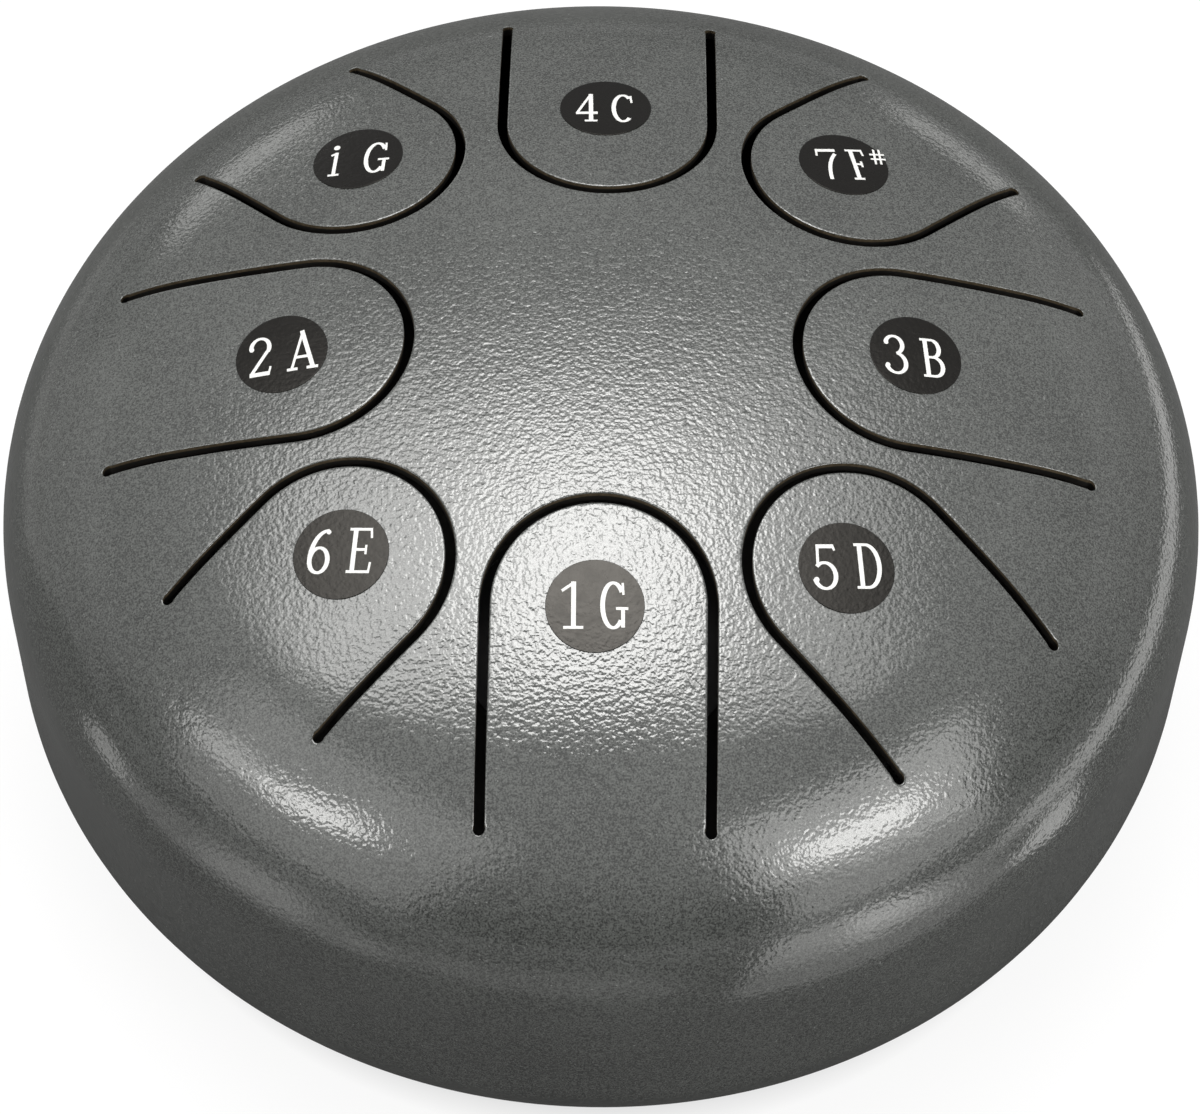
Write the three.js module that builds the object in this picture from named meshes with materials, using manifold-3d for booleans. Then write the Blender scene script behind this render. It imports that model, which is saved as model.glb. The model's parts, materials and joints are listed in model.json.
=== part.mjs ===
// A small steel tongue drum. A dished upper shell carries eight spring tongues and is welded to a
// flat-bottomed lower shell, which has a sound hole and stands on three screwed rubber feet.
// Millimetres, +Z up. The drum stands on z = 0 with its axis on the origin, and tongue 1 points to -Y.
import * as THREE from 'three';
import { mergeVertices } from 'three/addons/utils/BufferGeometryUtils.js';
import Module from 'manifold-3d';

const wasm = await Module();
wasm.setup();

// Sizes of the two shells
const drumRadius = 76; // outside of the straight band
const wall = 1.6; // sheet steel
const crownRadius = 170.6; // the playing face
const shoulderRadius = 41.5; // between the playing face and the knuckle
const knuckleRadius = 25.3; // turns the dome down into the straight band
const knuckleTurn = 51.9; // degrees that the knuckle turns through
const upperSkirt = 7.2; // straight band above the weld
const lowerSkirt = 7.1; // straight band below the weld
const baseKnuckleRadius = 17.25; // turns the straight band into the flat base
const soundHoleRadius = 19;

// Sizes of the weld that joins the shells
const weldHeight = 1.6;
const weldRoot = 0.9; // bead left proud inside, the outside is ground flush

// Sizes of the tongues and their slots
const tongueWidth = 26.6; // between the middles of the two slots
const slotWidth = 1.4;
const slotEndRadius = 0.95; // round relief at the root end of each slot
const flexureGap = 0.3; // across the root, where the tongue bends
const longTip = 23.5; // from the drum's axis to the slot round the tip of a long tongue

// Sizes of the note labels
const labelRadius = 5.8;
const labelThickness = 0.2;
const labelGap = 0.05; // glue line

// Sizes of the feet and their fixings
const footHeight = 7;
const footRadius = 8; // against the drum
const footToeRadius = 7; // on the table
const footToeRound = 0.8;
const footInset = 14.75; // from the edge of the flat base in to a foot's axis
const recessRadius = 5;
const recessDepth = 4.6; // up to the seat of the washer
const washerThickness = 0.8;
const washerClearance = 0.3; // between the washer and the recess
const screwRadius = 1.9;
const screwLength = 9.5; // under the head
const screwPoint = 3; // tapered end
const screwTipRadius = 0.3;
const headRadius = 3.7;
const headHeight = 2.4;
const driveWidth = 0.9; // arms of the cross in the head
const driveReach = 4.2;
const driveDepth = 1.3;
const tapClearance = 0.15; // screw in the shell
const boreClearance = 0.3; // screw in the washer and the foot

// How finely the round forms are faceted
const turnFacets = 56;
const smallFacets = 20;
const crownSteps = 5;
const shoulderSteps = 3;
const knuckleSteps = 5;
const beadSteps = 4;
const tipSteps = 14;

// One row for each tongue: the direction it points in, the steel left between its root and the outside
// of the drum, and how far its label sits along and beside the middle of its round end. The four long
// tongues reach in to longTip, and the short ones leave a bridge of steel to the slots beside them.
const tongues = [
  { note: 1, azimuth: 270, rimBand: 14.1, labelAlong: 0.4, labelAside: -0.45 },
  { note: 2, azimuth: 180, rimBand: 16.2, labelAlong: 2.25, labelAside: 0.8 },
  { note: 3, azimuth: 0, rimBand: 16.8, labelAlong: 1.15, labelAside: 0.35 },
  { note: 4, azimuth: 90, rimBand: 17, labelAlong: 2.65, labelAside: 0.25 },
  { note: 5, azimuth: 315, rimBand: 13.2, bridge: 2.55, labelAlong: -1.15, labelAside: -1.05 },
  { note: 6, azimuth: 225, rimBand: 17.2, bridge: 2.75, labelAlong: -1.05, labelAside: -0.55 },
  { note: 7, azimuth: 45, rimBand: 15.6, bridge: 2.85, labelAlong: -0.1, labelAside: 1.15 },
  { note: 8, azimuth: 135, rimBand: 15.8, bridge: 3.75, labelAlong: -0.4, labelAside: -0.05 },
];
const footAzimuths = [90, 210, 330];

// Heights and places that follow from the sizes
const radians = THREE.MathUtils.degToRad;
const baseFloor = footHeight + wall;
const lowerRim = footHeight + baseKnuckleRadius + lowerSkirt;
const upperRim = lowerRim + weldHeight;
const springHeight = upperRim + upperSkirt;
const footCircle = drumRadius - baseKnuckleRadius - footInset;
const tonguePitch = radians(360 / tongues.length);

// Centres of the three arcs of the dome, each tangent to the next
const knuckleAngle = radians(knuckleTurn);
const knuckleCentre = new THREE.Vector2(drumRadius - knuckleRadius, springHeight);
const shoulderCentre = new THREE.Vector2(Math.cos(knuckleAngle), Math.sin(knuckleAngle))
  .multiplyScalar(knuckleRadius - shoulderRadius)
  .add(knuckleCentre);
const crownAngle = Math.acos(shoulderCentre.x / (crownRadius - shoulderRadius));
const crownCentre = new THREE.Vector2(
  0,
  shoulderCentre.y - (crownRadius - shoulderRadius) * Math.sin(crownAngle),
);
const crownTop = crownCentre.y + crownRadius;
const cutBottom = upperRim - wall;
const cutHeight = crownTop + wall - cutBottom;

// Materials
const paintedSteel = new THREE.MeshStandardMaterial({ color: 0x666865, roughness: 0.36, metalness: 0.35 });
const bareWeld = new THREE.MeshStandardMaterial({ color: 0x5f615e, roughness: 0.5, metalness: 0.4 });
const labelVinyl = new THREE.MeshStandardMaterial({ color: 0x262625, roughness: 0.42, metalness: 0 });
const footRubber = new THREE.MeshStandardMaterial({ color: 0x1a1a1a, roughness: 0.85, metalness: 0 });
const zincSteel = new THREE.MeshStandardMaterial({ color: 0xb4b7ba, roughness: 0.35, metalness: 0.9 });

// Points of an arc in a profile, from one angle to another
function arc(centre, radius, from, to, steps) {
  const points = [];
  for (let step = 0; step <= steps; step += 1) {
    const angle = from + ((to - from) * step) / steps;
    points.push(new THREE.Vector2(Math.cos(angle), Math.sin(angle)).multiplyScalar(radius).add(centre));
  }
  return points;
}

// A ring or disc turned about Z from a profile of radius and height, drawn anticlockwise
function turned(profile, facets) {
  const closed = [...profile, profile[0]];
  return new THREE.LatheGeometry(closed, facets).rotateX(Math.PI / 2);
}

// A straight-sided cutter standing on a plan outline
function standing(outline, bottom, height) {
  const options = { depth: height, bevelEnabled: false, curveSegments: tipSteps };
  return new THREE.ExtrudeGeometry(outline, options).translate(0, 0, bottom);
}

// Closed mesh to solid, for cutting and joining
function solidOf(geometry) {
  const bare = geometry.clone();
  bare.deleteAttribute('normal');
  bare.deleteAttribute('uv');
  const merged = mergeVertices(bare);
  const corners = merged.index.array;
  const kept = [];
  for (let i = 0; i < corners.length; i += 3) {
    const [a, b, c] = corners.slice(i, i + 3);
    if (a !== b && b !== c && c !== a) {
      kept.push(a, b, c);
    }
  }
  const vertProperties = new Float32Array(merged.attributes.position.array);
  return new wasm.Manifold(new wasm.Mesh({ numProp: 3, vertProperties, triVerts: new Uint32Array(kept) }));
}

// Solid back to a mesh
function geometryOf(solid) {
  const mesh = solid.getMesh();
  const geometry = new THREE.BufferGeometry();
  geometry.setAttribute('position', new THREE.BufferAttribute(mesh.vertProperties, 3));
  geometry.setIndex(new THREE.BufferAttribute(mesh.triVerts, 1));
  geometry.computeVertexNormals();
  return geometry;
}

const drum = new THREE.Group();

function place(name, geometry, material, x = 0, y = 0) {
  const mesh = new THREE.Mesh(geometry, material);
  mesh.name = name;
  mesh.position.set(x, y, 0);
  drum.add(mesh);
}

// The dome's profile from the rim up to the axis, moved out from the outside face by an offset
function domeProfile(offset) {
  const rim = new THREE.Vector2(drumRadius + offset, upperRim);
  const knuckle = arc(knuckleCentre, knuckleRadius + offset, 0, knuckleAngle, knuckleSteps);
  const shoulder = arc(shoulderCentre, shoulderRadius + offset, knuckleAngle, crownAngle, shoulderSteps);
  const crown = arc(crownCentre, crownRadius + offset, crownAngle, Math.PI / 2, crownSteps);
  const pole = new THREE.Vector2(0, crownTop + offset);
  return [rim, ...knuckle, ...shoulder.slice(1), ...crown.slice(1, -1), pole];
}

// The sheet between two offsets of the dome
function domeSheet(inner, outer) {
  return solidOf(turned([...domeProfile(outer), ...domeProfile(inner).reverse()], turnFacets));
}

// Slope of the dome, as the angle of its normal above the horizontal, at a distance from the axis
function domeNormal(distance) {
  if (distance < crownRadius * Math.cos(crownAngle)) {
    return Math.acos(distance / crownRadius);
  }
  if (distance < shoulderCentre.x + shoulderRadius * Math.cos(knuckleAngle)) {
    return Math.acos((distance - shoulderCentre.x) / shoulderRadius);
  }
  return Math.acos((distance - knuckleCentre.x) / knuckleRadius);
}

// Height of the dome's outside face at a distance from the axis
function domeHeight(distance) {
  const normal = domeNormal(distance);
  if (normal >= crownAngle) {
    return crownCentre.y + crownRadius * Math.sin(normal);
  }
  if (normal >= knuckleAngle) {
    return shoulderCentre.y + shoulderRadius * Math.sin(normal);
  }
  return knuckleCentre.y + knuckleRadius * Math.sin(normal);
}

// Plan sizes of one tongue along its own axis
function tonguePlan(tongue) {
  const shortReach = (tongueWidth + slotWidth + tongue.bridge) / Math.sin(tonguePitch);
  const roundCentre = tongue.bridge ? shortReach : longTip + tongueWidth / 2;
  return { roundCentre, root: drumRadius - tongue.rimBand };
}

// Outline with a round tip and a straight root, pointing along +X
function tongueOutline(roundCentre, halfWidth, root) {
  return new THREE.Shape()
    .moveTo(root, -halfWidth)
    .lineTo(root, halfWidth)
    .lineTo(roundCentre, halfWidth)
    .absarc(roundCentre, 0, halfWidth, Math.PI / 2, (3 * Math.PI) / 2, false);
}

// Round reliefs at the root ends of a tongue's two slots
function slotEnds(root) {
  const relief = (side) => {
    const outline = new THREE.Shape();
    outline.absarc(root, (side * tongueWidth) / 2, slotEndRadius, 0, 2 * Math.PI, false);
    return solidOf(standing(outline, cutBottom, cutHeight));
  };
  return relief(1).add(relief(-1));
}

// Cutter for a tongue's window in the shell, and the form of the tongue inside it, turned to its azimuth
function tongueCutters(tongue) {
  const { roundCentre, root } = tonguePlan(tongue);
  const form = (halfWidth, end) => {
    const outline = tongueOutline(roundCentre, halfWidth, end);
    return solidOf(standing(outline, cutBottom, cutHeight));
  };
  const ends = slotEnds(root);
  const window = form((tongueWidth + slotWidth) / 2, root + flexureGap / 2).add(ends);
  const blade = form((tongueWidth - slotWidth) / 2, root - flexureGap / 2).subtract(ends);
  const turn = [0, 0, tongue.azimuth];
  return { window: window.rotate(turn), blade: blade.rotate(turn) };
}

// Cutter for a round label, standing square to the dome where the label is stuck
function labelCutter(tongue) {
  const { roundCentre } = tonguePlan(tongue);
  const along = roundCentre + tongue.labelAlong;
  const azimuth = radians(tongue.azimuth) + Math.atan2(tongue.labelAside, along);
  const distance = Math.hypot(along, tongue.labelAside);
  const normal = domeNormal(distance);
  const reach = wall + labelRadius;
  const rod = new THREE.CylinderGeometry(labelRadius, labelRadius, 2 * reach, smallFacets);
  rod.rotateZ(normal - Math.PI / 2);
  rod.rotateX(Math.PI / 2);
  rod.translate(distance, 0, domeHeight(distance));
  rod.rotateZ(azimuth);
  return solidOf(rod);
}

// Upper shell with its tongues and their labels
const sheet = domeSheet(-wall, 0);
const labelSheet = domeSheet(labelGap, labelGap + labelThickness);
let upperShell = sheet;
for (const tongue of tongues) {
  const { window, blade } = tongueCutters(tongue);
  upperShell = upperShell.subtract(window);
  place(`tongue_${tongue.note}`, geometryOf(sheet.intersect(blade)), paintedSteel);
  place(`note_label_${tongue.note}`, geometryOf(labelSheet.intersect(labelCutter(tongue))), labelVinyl);
}
place('upper_shell', geometryOf(upperShell), paintedSteel);

// Places of the feet on the base
const footPlaces = footAzimuths.map((azimuth) => ({
  x: footCircle * Math.cos(radians(azimuth)),
  y: footCircle * Math.sin(radians(azimuth)),
}));

// Lower shell: flat base with a sound hole, knuckle and straight band, drilled for the foot screws
const baseCentre = new THREE.Vector2(drumRadius - baseKnuckleRadius, footHeight + baseKnuckleRadius);
const lowerProfile = [
  new THREE.Vector2(soundHoleRadius, footHeight),
  ...arc(baseCentre, baseKnuckleRadius, -Math.PI / 2, 0, knuckleSteps),
  new THREE.Vector2(drumRadius, lowerRim),
  new THREE.Vector2(drumRadius - wall, lowerRim),
  ...arc(baseCentre, baseKnuckleRadius - wall, 0, -Math.PI / 2, knuckleSteps),
  new THREE.Vector2(soundHoleRadius, baseFloor),
];
let lowerShell = solidOf(turned(lowerProfile, turnFacets));
for (const { x, y } of footPlaces) {
  const radius = screwRadius + tapClearance;
  const drill = new THREE.CylinderGeometry(radius, radius, 3 * wall, smallFacets).rotateX(Math.PI / 2);
  lowerShell = lowerShell.subtract(solidOf(drill.translate(x, y, footHeight + wall / 2)));
}
place('lower_shell', geometryOf(lowerShell), paintedSteel);

// Weld bead between the two rims: flush outside, rounded and proud inside
const beadCentre = new THREE.Vector2(drumRadius - wall, lowerRim + weldHeight / 2);
const beadSize = new THREE.Vector2(weldRoot, weldHeight / 2);
const beadRound = arc(new THREE.Vector2(0, 0), 1, Math.PI / 2, (3 * Math.PI) / 2, beadSteps)
  .map((point) => point.multiply(beadSize).add(beadCentre));
const weldProfile = [
  new THREE.Vector2(drumRadius, lowerRim),
  new THREE.Vector2(drumRadius, upperRim),
  new THREE.Vector2(drumRadius - wall, upperRim),
  ...beadRound.slice(1, -1),
  new THREE.Vector2(drumRadius - wall, lowerRim),
];
place('weld_seam', turned(weldProfile, turnFacets), bareWeld);

// Rubber foot: tapered bumper with a recess that hides the screw
function footGeometry() {
  const bore = screwRadius + boreClearance;
  const toeCentre = new THREE.Vector2(footToeRadius - footToeRound, footToeRound);
  return turned(
    [
      new THREE.Vector2(recessRadius, 0),
      ...arc(toeCentre, footToeRound, -Math.PI / 2, 0, shoulderSteps),
      new THREE.Vector2(footRadius, footHeight),
      new THREE.Vector2(bore, footHeight),
      new THREE.Vector2(bore, recessDepth),
      new THREE.Vector2(recessRadius, recessDepth),
    ],
    smallFacets,
  );
}

// Flat washer on the seat of the recess
const washerFace = recessDepth - washerThickness;
function washerGeometry() {
  const bore = screwRadius + boreClearance;
  const rim = recessRadius - washerClearance;
  return turned(
    [
      new THREE.Vector2(bore, washerFace),
      new THREE.Vector2(rim, washerFace),
      new THREE.Vector2(rim, recessDepth),
      new THREE.Vector2(bore, recessDepth),
    ],
    smallFacets,
  );
}

// Pan head tapping screw, head down, with a cross in its head
function screwGeometry() {
  const tip = washerFace + screwLength;
  const headFace = washerFace - headHeight;
  const panSize = new THREE.Vector2(headRadius, headHeight);
  const panCentre = new THREE.Vector2(0, washerFace);
  const pan = arc(new THREE.Vector2(0, 0), 1, -Math.PI / 2, 0, beadSteps)
    .map((point) => point.multiply(panSize).add(panCentre));
  const profile = [
    new THREE.Vector2(0, headFace),
    ...pan.slice(1),
    new THREE.Vector2(screwRadius, washerFace),
    new THREE.Vector2(screwRadius, tip - screwPoint),
    new THREE.Vector2(screwTipRadius, tip),
    new THREE.Vector2(0, tip),
  ];
  const arm = (length, width) => {
    const bar = new THREE.BoxGeometry(length, width, 2 * driveDepth);
    return solidOf(bar.translate(0, 0, headFace));
  };
  const cross = arm(driveReach, driveWidth).add(arm(driveWidth, driveReach));
  return geometryOf(solidOf(turned(profile, smallFacets)).subtract(cross));
}

footPlaces.forEach(({ x, y }, index) => {
  place(`foot_${index + 1}`, footGeometry(), footRubber, x, y);
  place(`foot_washer_${index + 1}`, washerGeometry(), zincSteel, x, y);
  place(`foot_screw_${index + 1}`, screwGeometry(), zincSteel, x, y);
});

export default drum;
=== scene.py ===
# Looks of a small grey steel tongue drum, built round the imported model.
# Sizes are in millimetres and become metres when a mesh is made.
# The drum stands on z = 0, with its axis on the origin.
import json
import math

import bmesh
import bpy
import numpy as np
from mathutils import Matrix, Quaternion, Vector
from mathutils.geometry import delaunay_2d_cdt


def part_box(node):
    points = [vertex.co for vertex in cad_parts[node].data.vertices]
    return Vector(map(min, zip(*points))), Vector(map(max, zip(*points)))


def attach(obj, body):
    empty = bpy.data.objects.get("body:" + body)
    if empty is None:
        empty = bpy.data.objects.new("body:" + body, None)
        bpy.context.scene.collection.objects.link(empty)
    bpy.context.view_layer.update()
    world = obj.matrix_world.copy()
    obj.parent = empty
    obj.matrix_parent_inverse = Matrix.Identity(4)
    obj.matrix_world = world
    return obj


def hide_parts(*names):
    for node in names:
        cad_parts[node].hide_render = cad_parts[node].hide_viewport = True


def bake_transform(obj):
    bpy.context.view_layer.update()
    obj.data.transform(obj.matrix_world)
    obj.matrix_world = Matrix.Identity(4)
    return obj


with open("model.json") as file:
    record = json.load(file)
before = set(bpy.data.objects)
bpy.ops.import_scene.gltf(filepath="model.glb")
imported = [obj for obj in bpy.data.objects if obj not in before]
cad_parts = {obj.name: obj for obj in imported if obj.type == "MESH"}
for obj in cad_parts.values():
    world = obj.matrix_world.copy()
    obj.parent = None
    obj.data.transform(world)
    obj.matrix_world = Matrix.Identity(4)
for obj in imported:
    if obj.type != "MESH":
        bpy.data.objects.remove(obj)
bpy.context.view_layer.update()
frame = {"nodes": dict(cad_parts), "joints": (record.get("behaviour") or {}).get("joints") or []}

MM = 0.001
TINY = 1e-9

# Sizes of the sheet and the dome
# A hole's or slot's rounding is how far its edge is rounded, along the skin and down the wall
WALL = 1.6
CROWN_RADIUS = 170.6
SHOULDER_RADIUS = 41.5
KNUCKLE_RADIUS = 25.3
KNUCKLE_TURN = math.radians(51.9)
BASE_KNUCKLE_RADIUS = 17.25
SOUND_HOLE_RADIUS = 19
SOUND_HOLE_ROUND = (0.5, 0.5)
WELD_ROOT = 0.9  # how far the bead stands into the drum
WELD_RIPPLE = 0.12
WELD_RIPPLES = 96

# Sizes of the tongues, their slots and their labels
TONGUE_COUNT = 8
TONGUE_WIDTH = 26.6  # between the middles of the two slots
CAD_SLOT_WIDTH = 1.4
SLOT_WIDTH = 1.25  # between the worn edges
SLOT_END_RADIUS = 0.7
EDGE_ROUND = (0.3, 0.12)
PAINTED_LIT_WALL = 0.5  # depth of the slot's wall painted as lit raw steel; deeper, the wall takes the inside's near-black as painted shade
LABEL_RADIUS = 5.8
LABEL_HEIGHT = 0.12
LABEL_ROUND = 0.06
INK_HEIGHT = 0.015
BEND_MARGIN = 0.7  # from the label to where the tongue would stop bending; the point is worked out but nothing bends the tongue

# The coat's orange peel: its depth low on the drum and at the top, and the heights between which it deepens
PEEL_DEPTHS = (0.8, 2.1)
PEEL_HEIGHTS = (66, 75.5)

# Sizes of the feet, washers and screws
FOOT_COUNT = 3
FOOT_RADIUS = 8
FOOT_TOE_RADIUS = 7
FOOT_TOE_ROUND = 0.8
FOOT_EDGE_ROUND = 0.35
RECESS_RADIUS = 5
RECESS_DEPTH = 4.6
WASHER_RADIUS = 4.7
WASHER_THICKNESS = 0.8
WASHER_ROUND = 0.15
BORE_RADIUS = 2.2
TAP_RADIUS = 2.05
TAP_ROUND = (0.15, 0.15)
SCREW_RADIUS = 1.9
SCREW_CORE_RADIUS = 1.45
SCREW_LENGTH = 9.5
SCREW_POINT = 3
SCREW_TIP_RADIUS = 0.3
THREAD_PITCH = 1.4
THREAD_SHARPNESS = 3
HEAD_RADIUS = 3.7
HEAD_HEIGHT = 2.4
DRIVE_WIDTH = 0.9
DRIVE_REACH = 4.2
DRIVE_DEPTH = 1.3
DRIVE_TAPER = 0.6

# Places of the steel pieces' materials in their list
COAT = 0
CUT = 1
INSIDE = 2

# How finely the surfaces are meshed
TURN_STEPS = 288
HOLE_STEPS = 120
SMALL_STEPS = 64
GRID_STEP = 1.6
GRID_CLEARANCE = 0.6  # share of the step that stays free beside an outline
SKIN_MERGE = 1e-7
STROKE_MERGE = 1e-5
KNUCKLE_STEPS = 18
EDGE_STEPS = 3
CUT_STEPS = 5
LEG_STEP = 1.2
TIP_STEPS = 52
RELIEF_STEPS = 14
ROOT_STEPS = 18
THREAD_STEPS = 8
LABEL_RINGS = 4
BOW_STEPS = 28
DOT_STEPS = 20
SHARP_TURN = math.radians(35)

# Camera, from a fit to the photo's outline and slots
CAMERA_PLACE = (0.97, -292.1, 451.1)
CAMERA_AIM = (-0.05, -5.46, 35.35)
CAMERA_ROLL = math.radians(0.75)
CAMERA_LENS = 118.2
CAMERA_NEAR = 0.01


def node_box(node):
    """Lowest and highest corner of a node of the frame, in millimetres."""
    low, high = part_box(node)
    return np.array(low) / MM, np.array(high) / MM


# Heights and places that the frame gives
SHELL_LOW, SHELL_HIGH = node_box("upper_shell")
BASE_LOW, BASE_HIGH = node_box("lower_shell")
DRUM_RADIUS = SHELL_HIGH[0]
CROWN_TOP = SHELL_HIGH[2]
UPPER_RIM = SHELL_LOW[2]
LOWER_RIM = BASE_HIGH[2]
BASE_FACE = BASE_LOW[2]

# The dome's three tangent arcs, as centre radius and height
CROWN_SHARE = CROWN_RADIUS - SHOULDER_RADIUS
SHOULDER_SHARE = SHOULDER_RADIUS - KNUCKLE_RADIUS
KNUCKLE_X = DRUM_RADIUS - KNUCKLE_RADIUS
SHOULDER_X = KNUCKLE_X - SHOULDER_SHARE * math.cos(KNUCKLE_TURN)
CROWN_TURN = math.acos(SHOULDER_X / CROWN_SHARE)
CROWN_Z = CROWN_TOP - CROWN_RADIUS
SHOULDER_Z = CROWN_Z + CROWN_SHARE * math.sin(CROWN_TURN)
KNUCKLE_Z = SHOULDER_Z + SHOULDER_SHARE * math.sin(KNUCKLE_TURN)
SKIN_RADIUS = SHOULDER_X + SHOULDER_RADIUS * math.cos(KNUCKLE_TURN)
BASE_RADIUS = DRUM_RADIUS - BASE_KNUCKLE_RADIUS
BASE_KNUCKLE_Z = BASE_FACE + BASE_KNUCKLE_RADIUS


class Tongue:
    """Plan of one tongue: its direction, its root, the middle of its round tip and its label."""

    def __init__(self, note):
        self.note = note
        joint = next(j for j in frame["joints"] if j["child"] == f"tongue_{note}")
        self.hinge = np.array(joint["pos_m"]) / MM
        self.root = math.hypot(self.hinge[0], self.hinge[1])
        self.along = self.hinge[:2] / self.root
        self.aside = np.array([-self.along[1], self.along[0]])
        corners = np.array([v.co for v in frame["nodes"][f"tongue_{note}"].data.vertices]) / MM
        tip = (corners[:, :2] @ self.along).min()
        self.round_centre = tip + (TONGUE_WIDTH - CAD_SLOT_WIDTH) / 2
        low, high = node_box(f"note_label_{note}")
        self.label = (low[:2] + high[:2]) / 2

    def plan(self, local):
        """Points along and beside the tongue's axis, as points of the drum's plan."""
        return np.outer(local[:, 0], self.along) + np.outer(local[:, 1], self.aside)


TONGUES = [Tongue(note + 1) for note in range(TONGUE_COUNT)]


def dome_slope(distance, depth):
    """Cosine of the dome normal's angle above the horizontal, at distances from the axis."""
    crown = distance / (CROWN_RADIUS - depth)
    shoulder = (distance - SHOULDER_X) / (SHOULDER_RADIUS - depth)
    knuckle = (distance - KNUCKLE_X) / (KNUCKLE_RADIUS - depth)
    on_crown = crown < math.cos(CROWN_TURN)
    on_shoulder = shoulder < math.cos(KNUCKLE_TURN)
    return np.where(on_crown, crown, np.where(on_shoulder, shoulder, knuckle))


def dome_face(plan, depth):
    """Points of the sheet at a depth under the dome's outside face, and the outward normals there."""
    distance = np.hypot(plan[:, 0], plan[:, 1])
    cosine = dome_slope(distance, depth)
    sine = np.sqrt(1 - cosine ** 2)
    crown = CROWN_Z + (CROWN_RADIUS - depth) * sine
    shoulder = SHOULDER_Z + (SHOULDER_RADIUS - depth) * sine
    knuckle = KNUCKLE_Z + (KNUCKLE_RADIUS - depth) * sine
    on_crown = cosine < math.cos(CROWN_TURN)
    on_shoulder = cosine < math.cos(KNUCKLE_TURN)
    height = np.where(on_crown, crown, np.where(on_shoulder, shoulder, knuckle))
    outward = plan / np.maximum(distance, TINY)[:, None]
    return np.column_stack([plan, height]), np.column_stack([outward * cosine[:, None], sine])


def base_face(plan, depth):
    """Points of the flat base at a depth above its outside face, and the outward normals there."""
    height = np.full(len(plan), BASE_FACE + depth)
    return np.column_stack([plan, height]), np.tile([0.0, 0.0, -1.0], (len(plan), 1))


def circle(radius, steps, centre=(0, 0)):
    """Plan points of a circle and the directions towards its centre."""
    turn = np.arange(steps) * 2 * math.pi / steps
    outward = np.column_stack([np.cos(turn), np.sin(turn)])
    return np.array(centre) + radius * outward, -outward


def arc(centre, radius, start, end, steps):
    """Points of an arc and the directions away from its centre."""
    turn = np.linspace(start, end, steps + 1)
    outward = np.column_stack([np.cos(turn), np.sin(turn)])
    return np.array(centre) + radius * outward, outward


class Builder:
    """Collects the points, normals and faces of one piece, in millimetres."""

    def __init__(self):
        self.points = []
        self.normals = []
        self.faces = []
        self.paints = []

    def row(self, points, normals):
        """Adds points and gives their numbers."""
        start = len(self.points)
        self.points.extend(points)
        self.normals.extend(normals)
        return list(range(start, len(self.points)))

    def face(self, corners, paint=COAT):
        """Adds a face with one of the piece's materials."""
        self.faces.append(tuple(corners))
        self.paints.append(paint)

    def strip(self, first, second, closed, paint=COAT):
        """Adds the faces between two rows."""
        for i in range(len(first) if closed else len(first) - 1):
            j = (i + 1) % len(first)
            self.face((first[i], first[j], second[j], second[i]), paint)

    def ring(self, radius, height, lean, steps):
        """A row round the axis. lean is the angle of its normal above the horizontal."""
        outward = circle(1, steps)[0]
        radii = np.broadcast_to(radius, steps)[:, None]
        points = np.column_stack([outward * radii, np.full(steps, height)])
        normals = np.column_stack([outward * math.cos(lean), np.full(steps, math.sin(lean))])
        return self.row(points, normals)

    def make(self, name, materials, own_normals=True):
        """The finished piece, with faces turned outwards, shaded by own normals or by sharp edges."""
        mesh = bpy.data.meshes.new(name)
        mesh.from_pydata((np.array(self.points) * MM).tolist(), [], self.faces)
        mesh.polygons.foreach_set("material_index", self.paints)
        shape = bmesh.new()
        shape.from_mesh(mesh)
        bmesh.ops.recalc_face_normals(shape, faces=shape.faces)
        shape.to_mesh(mesh)
        shape.free()
        mesh.shade_smooth()
        if own_normals:
            mesh.normals_split_custom_set_from_vertices(np.array(self.normals).tolist())
        else:
            mesh.set_sharp_from_angle(angle=SHARP_TURN)
        for material in materials:
            mesh.materials.append(material)
        piece = bpy.data.objects.new(name, mesh)
        bpy.context.scene.collection.objects.link(piece)
        return piece


def inside(points, loops):
    """Whether plan points lie inside an odd number of closed loops."""
    odd = np.zeros(len(points), bool)
    for loop in loops:
        for (x0, y0), (x1, y1) in zip(loop, np.roll(loop, -1, axis=0)):
            if y0 != y1:
                crosses = (y0 > points[:, 1]) != (y1 > points[:, 1])
                odd ^= crosses & (points[:, 0] < x0 + (points[:, 1] - y0) * (x1 - x0) / (y1 - y0))
    return odd


def grid_inside(loops, step):
    """Points of a triangular grid inside the loops and clear of them."""
    reach = max(np.abs(loop).max() for loop in loops)
    rise = step * math.sqrt(3) / 2
    rows = np.arange(-reach, reach, rise)
    columns = np.arange(-reach, reach, step)
    grid = np.array([(x + step / 2 * (i % 2), y) for i, y in enumerate(rows) for x in columns])
    grid = grid[inside(grid, loops)]
    edge = np.vstack(loops)
    nearest = np.array([((edge - point) ** 2).sum(axis=1).min() for point in grid])
    return grid[nearest > (GRID_CLEARANCE * step) ** 2]


def loop_edges(loops):
    """Edges of closed loops whose points follow each other in one list."""
    edges = []
    start = 0
    for loop in loops:
        count = len(loop)
        edges += [(start + i, start + (i + 1) % count) for i in range(count)]
        start += count
    return edges


def triangles_inside(loops, grid):
    """Triangles over the loops' points, then the grid's points, that lie inside the loops."""
    points = np.vstack([*loops, grid])
    made = delaunay_2d_cdt([Vector(point) for point in points], loop_edges(loops), [], 0, SKIN_MERGE)
    faces, origins = made[2], made[3]
    triangles = np.array([[origins[corner][0] for corner in face] for face in faces])
    return triangles[inside(points[triangles].mean(axis=1), loops)]


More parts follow.
